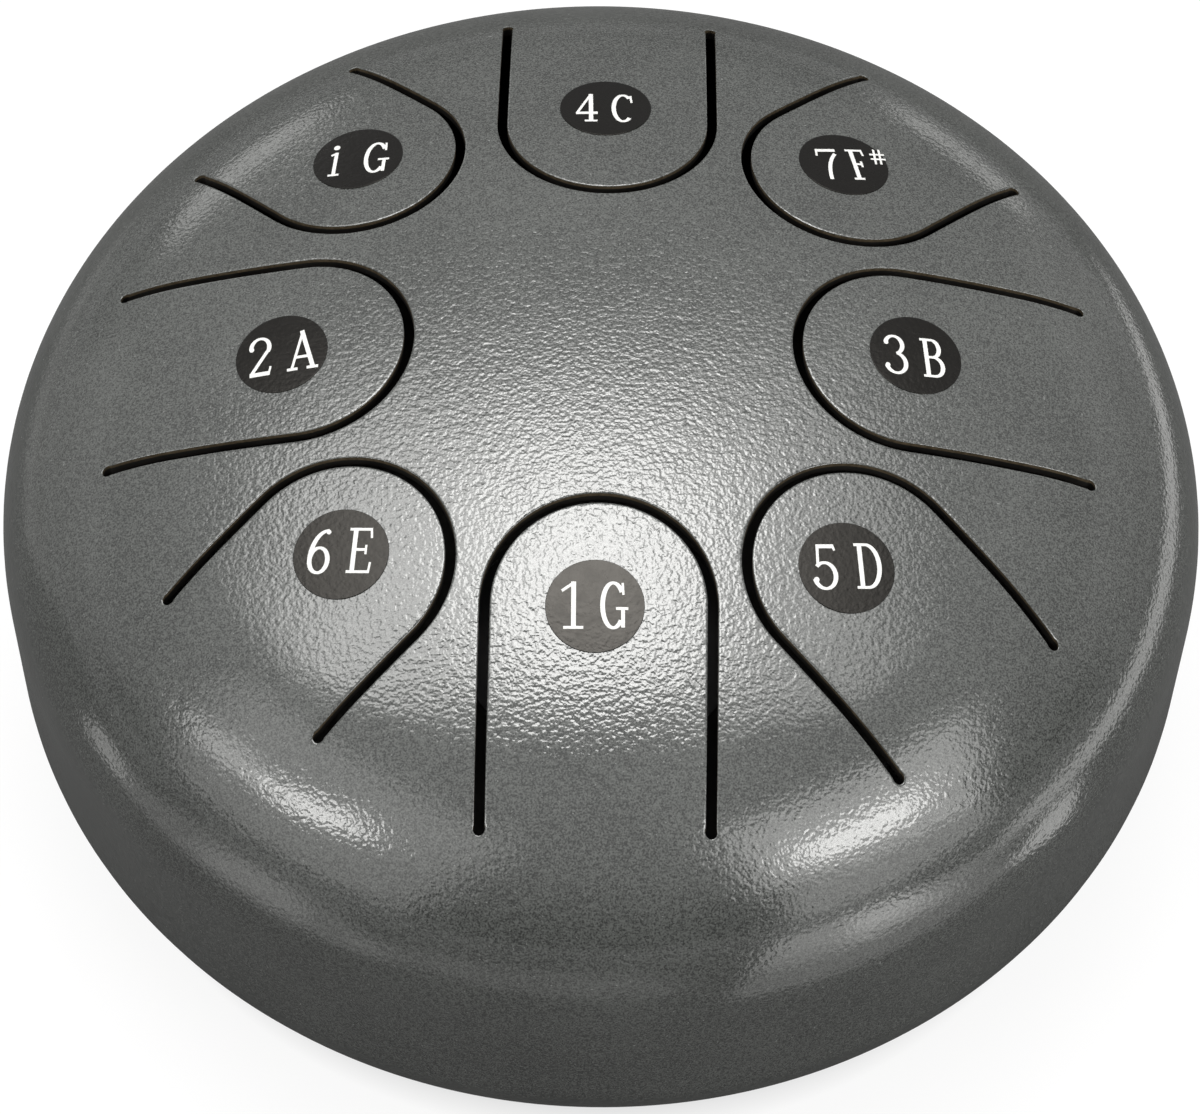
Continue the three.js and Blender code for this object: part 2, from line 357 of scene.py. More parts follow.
def add_edge(builder, surface, outline, rounding, closed, wall_paints):
    """The rounded edges and the wall of a cut through the sheet. Returns its rows, from skin to skin.
    rounding is how far an edge is rounded along the skin and down the wall."""
    reach, drop = rounding
    turns = [i / CUT_STEPS * math.pi / 2 for i in range(CUT_STEPS + 1)]
    stages = [(0, 1, turn, 0) for turn in turns]
    stages += [(0, 1, math.pi / 2, PAINTED_LIT_WALL)]
    stages += [(WALL, -1, turn, 0) for turn in turns[::-1]]
    rows = []
    for depth, side, turn, sink in stages:
        plan, inward = outline(reach * (1 - math.sin(turn)))
        points, normals = surface(plan, depth)
        points[:, 2] -= side * np.sign(normals[:, 2]) * (drop * (1 - math.cos(turn)) + sink)
        into = np.column_stack([inward, np.zeros(len(inward))])
        lean = math.atan2(drop * math.sin(turn), reach * math.cos(turn))
        rows.append(builder.row(points, side * math.cos(lean) * normals + math.sin(lean) * into))
    # On a slot, the wall's two paints are a lit brown top band and a near-black depth: painted light and
    # painted shade.
    paints = [COAT] * CUT_STEPS + wall_paints + [INSIDE] * CUT_STEPS
    for first, second, paint in zip(rows, rows[1:], paints):
        builder.strip(first, second, closed, paint)
    return rows


def add_skins(builder, surface, loops, outer, inner, step):
    """Fills both skins of the sheet between loops whose rows are in the builder already."""
    grid = grid_inside(loops, step)
    triangles = triangles_inside(loops, grid)
    for depth, side, known, paint in ((0, 1, outer, COAT), (WALL, -1, inner, INSIDE)):
        points, normals = surface(grid, depth)
        corners = np.array(known + builder.row(points, side * normals))
        for triangle in triangles:
            builder.face(corners[triangle].tolist(), paint)


def add_walls(builder, outside, within):
    """Faces between the rows of a shell's outside, of its inside and across its rim."""
    for rows, paint in ((outside, COAT), (within, INSIDE), ([outside[-1], within[-1]], COAT)):
        for first, second in zip(rows, rows[1:]):
            builder.strip(first, second, True, paint)


def slot_edge(tongue, side, offset):
    """One edge of a tongue's slot, from root to root, in plan, moved back from the slot by an offset.
    side is 1 for the shell's edge and -1 for the tongue's. Also gives the direction into the slot."""
    middle = TONGUE_WIDTH / 2
    reach = SLOT_WIDTH / 2 + offset
    half = middle + side * reach
    relief = SLOT_END_RADIUS + offset
    meet = math.asin(reach / relief)
    start = -math.pi / 2 if side > 0 else 3 * math.pi / 2
    end = arc((tongue.root, middle), relief, start, math.pi - side * meet, RELIEF_STEPS)
    leg_start = tongue.root - relief * math.cos(meet)
    leg_steps = math.ceil((tongue.root - tongue.round_centre) / LEG_STEP)
    leg = np.linspace(leg_start, tongue.round_centre, leg_steps + 1)[1:-1]
    leg_points = np.column_stack([leg, np.full(len(leg), half)])
    leg_into = np.tile([0.0, -side], (len(leg), 1))
    tip, tip_out = arc((tongue.round_centre, 0), half, math.pi / 2, 3 * math.pi / 2, TIP_STEPS)
    points = np.vstack([end[0], leg_points])
    into = np.vstack([-end[1], leg_into])
    mirror = np.array([1, -1])
    points = np.vstack([points, tip, points[::-1] * mirror])
    into = np.vstack([into, -side * tip_out, into[::-1] * mirror])
    return tongue.plan(points), tongue.plan(into)


def add_slot(builder, tongue, side):
    """One side of a tongue's slot and the section across the root. Returns the loop and its two rows."""
    def outline(offset):
        return slot_edge(tongue, side, offset)
    # The slot's wall is painted lighter at the top and near black below: painted light and painted shade.
    rows = add_edge(builder, dome_face, outline, EDGE_ROUND, False, [CUT, INSIDE])
    half_root = TONGUE_WIDTH / 2 - SLOT_END_RADIUS - EDGE_ROUND[0]
    across = np.linspace(-half_root, half_root, ROOT_STEPS + 1)[1:-1]
    root = tongue.plan(np.column_stack([np.full(len(across), tongue.root), across]))
    ends = []
    for depth, sign in ((0, 1), (WALL, -1)):
        points, normals = dome_face(root, depth)
        ends.append(builder.row(points, sign * normals))
    full = [[rows[0][-1]] + ends[0] + [rows[0][0]], [rows[-1][-1]] + ends[1] + [rows[-1][0]]]
    builder.strip(full[0], full[1], False)
    builder.face([row[0] for row in rows])
    builder.face([row[-1] for row in rows])
    plan = outline(EDGE_ROUND[0])[0]
    return np.vstack([plan, root]), rows[0] + ends[0], rows[-1] + ends[1]


def upper_shell(materials):
    """The dished shell with its eight windows, down to the weld."""
    builder = Builder()
    loops, outer, inner = [], [], []
    for tongue in TONGUES:
        loop, top, bottom = add_slot(builder, tongue, 1)
        loops.append(loop)
        outer += top
        inner += bottom
    ring = circle(SKIN_RADIUS, TURN_STEPS)[0]
    loops.append(ring)
    points, normals = dome_face(ring, 0)
    outside = [builder.row(points, normals)]
    points, normals = dome_face(ring, WALL)
    within = [builder.row(points, -normals)]
    add_skins(builder, dome_face, loops, outer + outside[0], inner + within[0], GRID_STEP)
    inner_turn = math.acos((SKIN_RADIUS - KNUCKLE_X) / (KNUCKLE_RADIUS - WALL))
    for rows, radius, start, flip in (
        (outside, KNUCKLE_RADIUS, KNUCKLE_TURN, 0),
        (within, KNUCKLE_RADIUS - WALL, inner_turn, math.pi),
    ):
        for turn in np.linspace(start, 0, KNUCKLE_STEPS + 1)[1:]:
            radial = KNUCKLE_X + radius * math.cos(turn)
            height = KNUCKLE_Z + radius * math.sin(turn)
            rows.append(builder.ring(radial, height, turn + flip, TURN_STEPS))
        rows.append(builder.ring(KNUCKLE_X + radius, UPPER_RIM, flip, TURN_STEPS))
    add_walls(builder, outside, within)
    return builder.make("drum_upper_shell", materials)


def tongue_piece(tongue, materials):
    """The steel inside one slot, joined to the shell along its root."""
    builder = Builder()
    loop, top, bottom = add_slot(builder, tongue, -1)
    add_skins(builder, dome_face, [loop], top, bottom, GRID_STEP)
    return builder.make(f"drum_tongue_{tongue.note}", materials)


def foot_places():
    """Plan places of the feet, from the frame."""
    places = []
    for number in range(FOOT_COUNT):
        low, high = node_box(f"foot_{number + 1}")
        places.append((low[:2] + high[:2]) / 2)
    return places


def hole_outline(centre, radius, steps):
    """Gives a function for the outline of a round hole, moved back from the hole by an offset."""
    return lambda offset: circle(radius + offset, steps, centre)


def lower_shell(materials):
    """Flat base with its sound hole and screw holes, lower knuckle and straight band."""
    builder = Builder()
    loops, outer, inner = [], [], []
    holes = [((0, 0), SOUND_HOLE_RADIUS, SOUND_HOLE_ROUND, HOLE_STEPS)]
    holes += [(place, TAP_RADIUS, TAP_ROUND, SMALL_STEPS // 2) for place in foot_places()]
    for centre, radius, rounding, steps in holes:
        outline = hole_outline(centre, radius, steps)
        rows = add_edge(builder, base_face, outline, rounding, True, [COAT, COAT])
        loops.append(outline(rounding[0])[0])
        outer += rows[0]
        inner += rows[-1]
    ring = circle(BASE_RADIUS, TURN_STEPS)[0]
    loops.append(ring)
    outside = [builder.row(*base_face(ring, 0))]
    points, normals = base_face(ring, WALL)
    within = [builder.row(points, -normals)]
    add_skins(builder, base_face, loops, outer + outside[0], inner + within[0], 2 * GRID_STEP)
    for rows, radius, flip in (
        (outside, BASE_KNUCKLE_RADIUS, 0),
        (within, BASE_KNUCKLE_RADIUS - WALL, math.pi),
    ):
        for turn in np.linspace(-math.pi / 2, 0, KNUCKLE_STEPS + 1)[1:]:
            radial = BASE_RADIUS + radius * math.cos(turn)
            height = BASE_KNUCKLE_Z + radius * math.sin(turn)
            rows.append(builder.ring(radial, height, turn + flip, TURN_STEPS))
        rows.append(builder.ring(BASE_RADIUS + radius, LOWER_RIM, flip, TURN_STEPS))
    add_walls(builder, outside, within)
    return builder.make("drum_lower_shell", materials)


def weld_seam(materials):
    """Weld between the rims: flush outside, a rippled bead inside."""
    builder = Builder()
    turn = np.arange(TURN_STEPS) * 2 * math.pi / TURN_STEPS
    ripple = WELD_RIPPLE * np.abs(np.sin(turn * WELD_RIPPLES / 2))
    rows = [builder.ring(DRUM_RADIUS, height, 0, TURN_STEPS) for height in (LOWER_RIM, UPPER_RIM)]
    middle = (LOWER_RIM + UPPER_RIM) / 2
    half = (UPPER_RIM - LOWER_RIM) / 2
    for angle in np.linspace(math.pi / 2, -math.pi / 2, 2 * EDGE_STEPS + 1):
        bulge = math.cos(angle) * (WELD_ROOT + ripple)
        height = middle + half * math.sin(angle)
        rows.append(builder.ring(DRUM_RADIUS - WALL - bulge, height, math.pi - angle, TURN_STEPS))
    for first, second in zip(rows, rows[1:] + rows[:1]):
        builder.strip(first, second, True, COAT if first is rows[0] else INSIDE)
    return builder.make("drum_weld_seam", materials)


def turned(name, profile, steps, materials, place):
    """A closed round piece from a profile of radius and height. Points on the axis close it."""
    builder = Builder()
    rows = []
    for radius, height in profile:
        if np.max(radius) > 0:
            rows.append(builder.ring(radius, height, 0, steps))
        else:
            rows.append(builder.row([(0, 0, height)], [(0, 0, 1)]) * steps)
    for first, second in zip(rows, rows[1:] + rows[:1]):
        for i in range(steps):
            j = (i + 1) % steps
            corners = list(dict.fromkeys((first[i], first[j], second[j], second[i])))
            if len(corners) > 2:
                builder.face(corners)
    builder.points = [np.array(point) + np.array([*place, 0]) for point in builder.points]
    return builder.make(name, materials, own_normals=False)


def rounded(centre, radius, start, end):
    """Arc points of a rounded corner in a profile."""
    return [tuple(point) for point in arc(centre, radius, start, end, 2 * EDGE_STEPS)[0]]


def foot(number, place, materials):
    """Tapered rubber bumper with a recess for the washer and the screw head."""
    top = node_box(f"foot_{number}")[1][2]
    quarter = math.pi / 2
    toe = FOOT_TOE_RADIUS - FOOT_TOE_ROUND
    mouth = RECESS_RADIUS + FOOT_EDGE_ROUND
    profile = rounded((mouth, FOOT_EDGE_ROUND), FOOT_EDGE_ROUND, 2 * quarter, 3 * quarter)
    profile += rounded((toe, FOOT_TOE_ROUND), FOOT_TOE_ROUND, -quarter, 0)
    shoulder = (FOOT_RADIUS - FOOT_EDGE_ROUND, top - FOOT_EDGE_ROUND)
    profile += rounded(shoulder, FOOT_EDGE_ROUND, 0, quarter)
    profile += [(BORE_RADIUS, top), (BORE_RADIUS, RECESS_DEPTH), (RECESS_RADIUS, RECESS_DEPTH)]
    return turned(f"rubber_foot_{number}", profile, SMALL_STEPS, materials, place)


def washer(number, place, materials):
    """Flat washer with broken edges."""
    low, high = RECESS_DEPTH - WASHER_THICKNESS, RECESS_DEPTH
    quarter = math.pi / 2
    rim = WASHER_RADIUS - WASHER_ROUND
    bore = BORE_RADIUS + WASHER_ROUND
    profile = rounded((bore, low + WASHER_ROUND), WASHER_ROUND, 2 * quarter, 3 * quarter)
    profile += rounded((rim, low + WASHER_ROUND), WASHER_ROUND, -quarter, 0)
    profile += rounded((rim, high - WASHER_ROUND), WASHER_ROUND, 0, quarter)
    profile += rounded((bore, high - WASHER_ROUND), WASHER_ROUND, quarter, 2 * quarter)
    return turned(f"zinc_washer_{number}", profile, SMALL_STEPS, materials, place)


def cut_away(piece, cutter):
    """Cuts one piece out of another."""
    cut = piece.modifiers.new("cut", "BOOLEAN")
    cut.object = cutter
    cut.operation = "DIFFERENCE"
    cut.solver = "EXACT"
    cut.use_self = True
    bpy.context.view_layer.update()
    graph = bpy.context.evaluated_depsgraph_get()
    mesh = bpy.data.meshes.new_from_object(piece.evaluated_get(graph))
    mesh.set_sharp_from_angle(angle=SHARP_TURN)
    piece.modifiers.clear()
    piece.data = mesh
    bpy.data.objects.remove(cutter)


def cross_cutter(place, face):
    """A cross of two tapered bars, standing in the screw's head."""
    shape = bmesh.new()
    for along, across in ((DRIVE_REACH, DRIVE_WIDTH), (DRIVE_WIDTH, DRIVE_REACH)):
        bar = bmesh.ops.create_cube(shape, size=1)["verts"]
        for vert in bar:
            share = DRIVE_TAPER if vert.co.z > 0 else 1.0
            x = place[0] + vert.co.x * along * share
            y = place[1] + vert.co.y * across * share
            vert.co = Vector((x, y, face + vert.co.z * 2 * DRIVE_DEPTH)) * MM
    mesh = bpy.data.meshes.new("cross")
    shape.to_mesh(mesh)
    shape.free()
    cutter = bpy.data.objects.new("cross", mesh)
    bpy.context.scene.collection.objects.link(cutter)
    return cutter


def screw(number, place, materials):
    """Pan head tapping screw, head down, with its thread and a cross in its head."""
    seat = RECESS_DEPTH - WASHER_THICKNESS
    tip = seat + SCREW_LENGTH
    pan = arc((0, 0), 1, -math.pi / 2, 0, 3 * EDGE_STEPS)[0]
    profile = [(HEAD_RADIUS * x if x > TINY else 0, seat + HEAD_HEIGHT * z) for x, z in pan]
    turn = np.arange(SMALL_STEPS) / SMALL_STEPS
    depth = SCREW_RADIUS - SCREW_CORE_RADIUS
    for height in np.arange(seat, tip, THREAD_PITCH / THREAD_STEPS):
        ridge = np.abs(((height / THREAD_PITCH - turn) % 1) * 2 - 1)
        taper = min(1, (tip - height) / SCREW_POINT)
        radius = (SCREW_CORE_RADIUS + depth * ridge ** THREAD_SHARPNESS) * taper
        profile.append((np.maximum(radius, SCREW_TIP_RADIUS), height))
    profile.append((0, tip))
    piece = turned(f"zinc_screw_{number}", profile, SMALL_STEPS, materials, place)
    cut_away(piece, cross_cutter(place, seat - HEAD_HEIGHT))
    return piece


# Marks of the labels, as pen strokes in a box of height 6
# Uprights are thick, level strokes are thin and serifs are small
THICK = 0.58
THIN = 0.35
SERIF = 0.28
GLYPH_SCALE = np.array([0.95, 1.0])
STROKE_STEP = 0.8
BOW_SHARPNESS = 1.5  # how quickly a round stroke thins where it turns level


def line(x0, y0, x1, y1, width):
    """Outline of a straight stroke, with points close enough to follow the crown."""
    steps = math.ceil(math.hypot(x1 - x0, y1 - y0) / STROKE_STEP)
    middle = np.linspace((x0, y0), (x1, y1), steps + 1)
    way = middle[-1] - middle[0]
    side = np.array([-way[1], way[0]]) / np.hypot(*way) * width / 2
    return np.vstack([middle + side, (middle - side)[::-1]])


def bow(x, y, rx, ry, start, end, thick=THICK, thin=THIN):
    """Outline of a round stroke, thick where it runs upright and thin where it runs level."""
    turn = np.radians(np.linspace(start, end, BOW_STEPS + 1))
    middle = np.column_stack([x + rx * np.cos(turn), y + ry * np.sin(turn)])
    way = np.column_stack([-rx * np.sin(turn), ry * np.cos(turn)])
    way /= np.hypot(way[:, 0], way[:, 1])[:, None]
    width = thin + (thick - thin) * np.abs(way[:, 1]) ** BOW_SHARPNESS
    side = np.column_stack([-way[:, 1], way[:, 0]]) * width[:, None] / 2
    return np.vstack([middle + side, (middle - side)[::-1]])


def dot(x, y, radius):
    """Outline of a round dot."""
    return circle(radius, DOT_STEPS, (x, y))[0]


def upright(x, low, high):
    """A thick upright stroke."""
    return line(x, low, x, high, THICK)


def level(x0, x1, y, width=THIN):
    """A thin level stroke."""
    return line(x0, y, x1, y, width)


GLYPHS = {
    "1": [upright(1.65, 0.1, 5.95), line(1.75, 5.85, 0.2, 4.8, THIN), level(0.4, 2.85, 0.24)],
    "2": [
        bow(1.55, 4.4, 1.2, 1.4, 185, -32),
        dot(0.42, 4.25, 0.32),
        line(2.5, 3.7, 0.45, 0.5, 0.46),
        level(0.2, 2.9, 0.36, 0.6),
        line(2.75, 0.3, 2.98, 1.35, SERIF),
    ],
    "3": [
        bow(1.35, 4.45, 1.1, 1.3, 165, -80),
        bow(1.35, 1.7, 1.3, 1.5, 80, -165),
        dot(0.35, 4.75, 0.3),
        dot(0.22, 1.35, 0.32),
    ],
    "4": [
        upright(2.05, 0.1, 5.95),
        line(2.05, 5.85, 0.2, 1.9, THIN),
        level(0.05, 2.95, 1.85, 0.5),
        level(1.2, 2.9, 0.2),
    ],
    "5": [
        level(0.45, 2.65, 5.6, 0.5),
        line(2.55, 5.75, 2.75, 5.05, SERIF),
        line(0.62, 5.6, 0.5, 3.15, THIN),
        bow(1.3, 1.85, 1.35, 1.65, 135, -165),
        dot(0.18, 1.35, 0.34),
    ],
    "6": [
        bow(1.5, 1.8, 1.15, 1.6, 0, 180),
        bow(1.5, 1.8, 1.15, 1.6, 180, 360),
        bow(2.55, 1.9, 2.2, 3.75, 180, 92),
        dot(2.45, 5.45, 0.3),
    ],
    "7": [
        level(0.2, 2.95, 5.65, 0.5),
        line(0.35, 5.7, 0.2, 4.6, SERIF),
        bow(4.4, 0.1, 3.15, 5.6, 180, 120, 0.52, 0.42),
    ],
    "high 1": [
        line(1.35, 0.1, 1.35, 4.6, 0.5),
        line(1.45, 4.5, 0.65, 4.1, THIN),
        level(0.6, 2.1, 0.22),
        dot(1.25, 5.6, 0.44),
    ],
    "A": [
        line(0.5, 0.1, 1.95, 5.85, THIN),
        line(1.8, 5.95, 3.35, 0.1, THICK),
        level(0.85, 2.9, 1.95, 0.4),
        level(-0.1, 1.3, 0.2, 0.4),
        level(2.5, 4.0, 0.2, 0.4),
    ],
    "B": [
        upright(0.72, 0.1, 5.9),
        level(0.05, 1.65, 5.72),
        level(0.6, 1.65, 3.1),
        level(0.05, 1.65, 0.26),
        bow(1.55, 4.41, 0.95, 1.31, 90, -90),
        bow(1.6, 1.68, 1.15, 1.42, 90, -90),
    ],
    "C": [
        bow(1.6, 3, 1.25, 2.8, 48, 312),
        line(2.6, 5.7, 2.75, 4.2, SERIF),
    ],
    "D": [
        upright(0.75, 0.1, 5.9),
        level(0.05, 1.55, 5.72),
        level(0.05, 1.55, 0.26),
        bow(1.5, 2.99, 1.6, 2.73, 90, -90),
    ],
    "E": [
        upright(0.8, 0.1, 5.9),
        level(0.05, 2.85, 5.72),
        level(0.7, 2.35, 3.1),
        level(0.05, 2.95, 0.26),
        line(2.75, 5.9, 2.9, 4.6, SERIF),
        line(2.3, 2.5, 2.3, 3.7, SERIF),
        line(2.85, 0.1, 3.0, 1.5, SERIF),
    ],
    "F": [
        upright(0.8, 0.1, 5.9),
        level(0.05, 2.35, 5.72),
        level(0.7, 1.85, 3.05),
        level(0.1, 1.55, 0.24),
        line(2.25, 5.9, 2.4, 4.7, SERIF),
        line(1.8, 2.5, 1.8, 3.6, SERIF),
    ],
    "G": [
        bow(1.6, 3, 1.3, 2.8, 36, 318),
        line(2.75, 5.8, 2.85, 4.3, SERIF),
        line(2.8, 0.25, 2.8, 2.6, 0.46),
        level(1.95, 3.45, 2.6),
    ],
    "sharp": [
        line(0.45, 0, 0.75, 2.9, 0.3),
        line(1.2, 0, 1.5, 2.9, 0.3),
        level(-0.05, 2.05, 1.0, 0.3),
        level(-0.05, 2.05, 1.9, 0.3),
    ],
}

# What stands on each label: glyphs with their left edge and foot, and the turn of their line in degrees
MARKS = [
    ([("1", -4.05, -2.95), ("G", 0.6, -2.95)], 0.7),
    ([("2", -4.15, -3.05), ("A", 0.85, -2.95)], 2.5),
    ([("3", -3.95, -3.2), ("B", 0.65, -3.3)], 4.7),
    ([("4", -3.8, -3.05), ("C", 0.7, -3.2)], 1.2),
    ([("5", -3.95, -2.9), ("D", 1.0, -2.8)], 5.1),
    ([("6", -4.05, -2.65), ("E", 0.8, -2.55)], -3.8),
    ([("7", -3.45, -3.1), ("F", 0.65, -3.1), ("sharp", 3.9, 0.05)], 12.0),
    ([("high 1", -4.15, -3.2), ("G", 0.85, -3.25)], -3.4),
]


class LabelFrame:
    """The dome's crown seen from the middle of a label: x to the right of its marks, y up them."""

    def __init__(self, tongue, turn):
        self.up = dome_face(tongue.label[None, :], 0)[1][0]
        level_x = np.array([1.0, 0, 0]) - self.up[0] * self.up
        level_x /= np.linalg.norm(level_x)
        level_y = np.cross(self.up, level_x)
        self.x = level_x * math.cos(turn) + level_y * math.sin(turn)
        self.y = np.cross(self.up, self.x)

    def lay(self, flat, height):
        """Flat points of the label laid on the crown at a height above it, and the normals there."""
        span = np.hypot(flat[:, 0], flat[:, 1])[:, None]
        way = (flat[:, :1] * self.x + flat[:, 1:] * self.y) / np.maximum(span, TINY)
        angle = span / CROWN_RADIUS
        normals = self.up * np.cos(angle) + way * np.sin(angle)
        heights = np.broadcast_to(height, len(flat))[:, None]
        return np.array([0, 0, CROWN_Z]) + normals * (CROWN_RADIUS + heights), normals


def note_label(tongue, base, materials):
    """A thin vinyl disc with a rounded edge, stuck to the crown."""
    builder = Builder()
    face_edge = LABEL_RADIUS - LABEL_ROUND
    spans = [((i + 1) / LABEL_RINGS * face_edge, LABEL_HEIGHT, 0) for i in range(LABEL_RINGS)]
    for turn in (math.pi / 4, math.pi / 2):
        drop = LABEL_ROUND * (1 - math.cos(turn))
        spans.append((face_edge + LABEL_ROUND * math.sin(turn), LABEL_HEIGHT - drop, turn))
    spans.append((LABEL_RADIUS, 0, math.pi / 2))
    ring, inward = circle(1, SMALL_STEPS)
    rows = []
    for span, height, lean in spans:
        points, normals = base.lay(ring * span, height)
        outward = -inward[:, :1] * base.x - inward[:, 1:] * base.y
        rows.append(builder.row(points, normals * math.cos(lean) + outward * math.sin(lean)))
    middle = builder.row(*base.lay(np.zeros((1, 2)), LABEL_HEIGHT))[0]
    for first, second in zip(rows, rows[1:]):
        builder.strip(first, second, True)
    for i in range(SMALL_STEPS):
        builder.face((middle, rows[0][i], rows[0][(i + 1) % SMALL_STEPS]))
    builder.face(rows[-1])
    return builder.make(f"vinyl_label_{tongue.note}", materials)


def joined_strokes(outlines):
    """Points and triangles that cover a set of overlapping outlines once."""
    corners = [Vector(point) for outline in outlines for point in outline]
    made = delaunay_2d_cdt(corners, loop_edges(outlines), [], 0, STROKE_MERGE)
    points = np.array([tuple(point) for point in made[0]])
    triangles = made[2]
    middles = np.array([points[triangle].mean(axis=0) for triangle in triangles])
    inked = np.any([inside(middles, [outline]) for outline in outlines], axis=0)
    return points, [triangle for triangle, keep in zip(triangles, inked) if keep]


def label_marks(tongue, base, glyphs, materials):
    """Thin white ink on a label."""
    outlines = []
    for name, left, foot_line in glyphs:
        outlines += [stroke * GLYPH_SCALE + np.array([left, foot_line]) for stroke in GLYPHS[name]]
    flat, triangles = joined_strokes(outlines)
    builder = Builder()
    top = builder.row(*base.lay(flat, LABEL_HEIGHT + INK_HEIGHT))
    bottom = builder.row(*base.lay(flat, LABEL_HEIGHT))
    sides = {}
    for triangle in triangles:
        builder.face([top[corner] for corner in triangle])
        builder.face([bottom[corner] for corner in reversed(triangle)])
        for first, second in zip(triangle, triangle[1:] + triangle[:1]):
            if (second, first) in sides:
                del sides[second, first]
            else:
                sides[first, second] = True
    for first, second in sides:
        builder.face((top[first], bottom[first], bottom[second], top[second]))
    return builder.make(f"ink_marks_{tongue.note}", materials)


# Sockets of a Mix node that mixes colours
MIX_FIRST = 6
MIX_SECOND = 7
MIX_RESULT = 2


class Look:
    """A procedural material with a principled shader, and short calls to add nodes to it."""

    def __init__(self, name, **settings):
        self.material = bpy.data.materials.new(name)
        self.material.use_nodes = True
        self.tree = self.material.node_tree
        self.shader = self.tree.nodes["Principled BSDF"]
        for socket, value in settings.items():
            self.shader.inputs[socket.replace("_", " ")].default_value = value
        self.place = self.node("ShaderNodeTexCoord").outputs["Object"]

    def node(self, kind, links=(), settings=(), **fields):
        """A new node with its fields and plain inputs set and its other inputs linked."""
        made = self.tree.nodes.new(kind)
        for field, value in fields.items():
            setattr(made, field, value)
        for socket, value in settings:
            made.inputs[socket].default_value = value
        for socket, source in links:
            self.tree.links.new(source, made.inputs[socket])
        return made

    def noise(self, size, detail=2.0):
        """Noise whose patches are about a size in millimetres."""
        settings = [("Scale", 1 / (size * MM)), ("Detail", detail)]
        return self.node("ShaderNodeTexNoise", [("Vector", self.place)], settings).outputs["Fac"]

    def spread(self, source, low, high, start=0.3, end=0.7):
        """Maps a middle stretch of a source to a range."""
        settings = [("From Min", start), ("From Max", end), ("To Min", low), ("To Max", high)]
        return self.node("ShaderNodeMapRange", [("Value", source)], settings).outputs["Result"]

    def blend(self, share, dark, light):
        """A colour between two, by a share."""
        made = self.node("ShaderNodeMix", [("Factor", share)], data_type="RGBA")
        made.inputs[MIX_FIRST].default_value = (*dark, 1)
        made.inputs[MIX_SECOND].default_value = (*light, 1)
        return made.outputs[MIX_RESULT]

    def layer(self, share, under, over):
        """A plain colour laid over a source, by a share."""
        made = self.node("ShaderNodeMix", [("Factor", share)], data_type="RGBA")
        self.tree.links.new(under, made.inputs[MIX_FIRST])
        made.inputs[MIX_SECOND].default_value = (*over, 1)
        return made.outputs[MIX_RESULT]

    def add(self, first, second, share):
        """first plus a share of second."""
        made = self.node("ShaderNodeMath", operation="MULTIPLY_ADD")
        self.tree.links.new(second, made.inputs[0])
        made.inputs[1].default_value = share
        self.tree.links.new(first, made.inputs[2])
        return made.outputs[0]

    def times(self, first, second):
        """first multiplied by second."""
        return self.node("ShaderNodeMath", [(0, first), (1, second)], operation="MULTIPLY").outputs[0]

    def height_share(self, low, high, start, end):
        """A value that changes with the height on the drum, between two heights in millimetres."""
        height = self.node("ShaderNodeSeparateXYZ", [("Vector", self.place)]).outputs["Z"]
        return self.spread(height, low, high, start * MM, end * MM)

    def bump(self, height, distance):
        """Bumps that stand a distance in millimetres for a height of 1."""
        settings = [("Strength", 1.0), ("Distance", distance * MM)]
        made = self.node("ShaderNodeBump", [("Height", height)], settings)
        self.link(made.outputs["Normal"], "Normal")

    def link(self, source, socket):
        """Links a source to the shader."""
        self.tree.links.new(source, self.shader.inputs[socket])

    def mottle(self, source, dark, light):
        """A base colour between two that follows a source."""
        self.link(self.blend(self.spread(source, low=0, high=1), dark, light), "Base Color")


def powder_coat():
    """Grey semi-gloss powder coat, its orange peel deepest on the crown, with random grain and patches in
    its colour, painted shade in the peel's pits with painted light on its crests, and pale flecks painted
    as glints.
    """
    look = Look("powder_coat", Specular_IOR_Level=1.0, IOR=1.6)
    peel = look.noise(size=0.58, detail=1.2)
    swell = look.noise(size=2.6, detail=1.0)
    depth = look.height_share(*PEEL_DEPTHS, *PEEL_HEIGHTS)
    look.bump(look.times(look.add(peel, swell, share=0.25), depth), distance=0.061)
    grain = look.noise(size=0.22, detail=1)
    patch = look.noise(size=14, detail=2)
    # The colour follows the peel, lighter on its crests and darker in its pits: painted light and painted
    # shade over random grain and patches.
    tone_and_peel_shade = look.add(look.add(grain, patch, share=0.15), peel, share=0.3)
    dark, light, pale = (0.0345, 0.0365, 0.0345), (0.1145, 0.12, 0.1135), (0.5, 0.51, 0.5)
    coat = look.blend(look.spread(tone_and_peel_shade, low=0, high=1, start=0.58, end=0.87), dark, light)
    # Sparse pale flecks in the colour stand in for the sparkle of metal flakes: painted glints.
    painted_glint_fleck = look.spread(look.noise(size=0.3, detail=0), low=0, high=0.35, start=0.82, end=0.86)
    look.link(look.layer(painted_glint_fleck, coat, pale), "Base Color")
    look.link(look.spread(look.noise(size=1.3), low=0.1, high=0.145), "Roughness")
    return look.material


def cut_edge_painted_lit():
    """Raw brown steel for the top band of the slots' walls, made lighter as painted light where that band
    faces the light.
    """
    look = Look("cut_edge_painted_lit", Metallic=0.3)
    streak = look.noise(size=0.5, detail=3)
    look.mottle(streak, dark=(0.1, 0.078, 0.048), light=(0.18, 0.14, 0.088))
    look.link(look.spread(streak, low=0.45, high=0.65), "Roughness")
    look.bump(streak, distance=0.05)
    return look.material


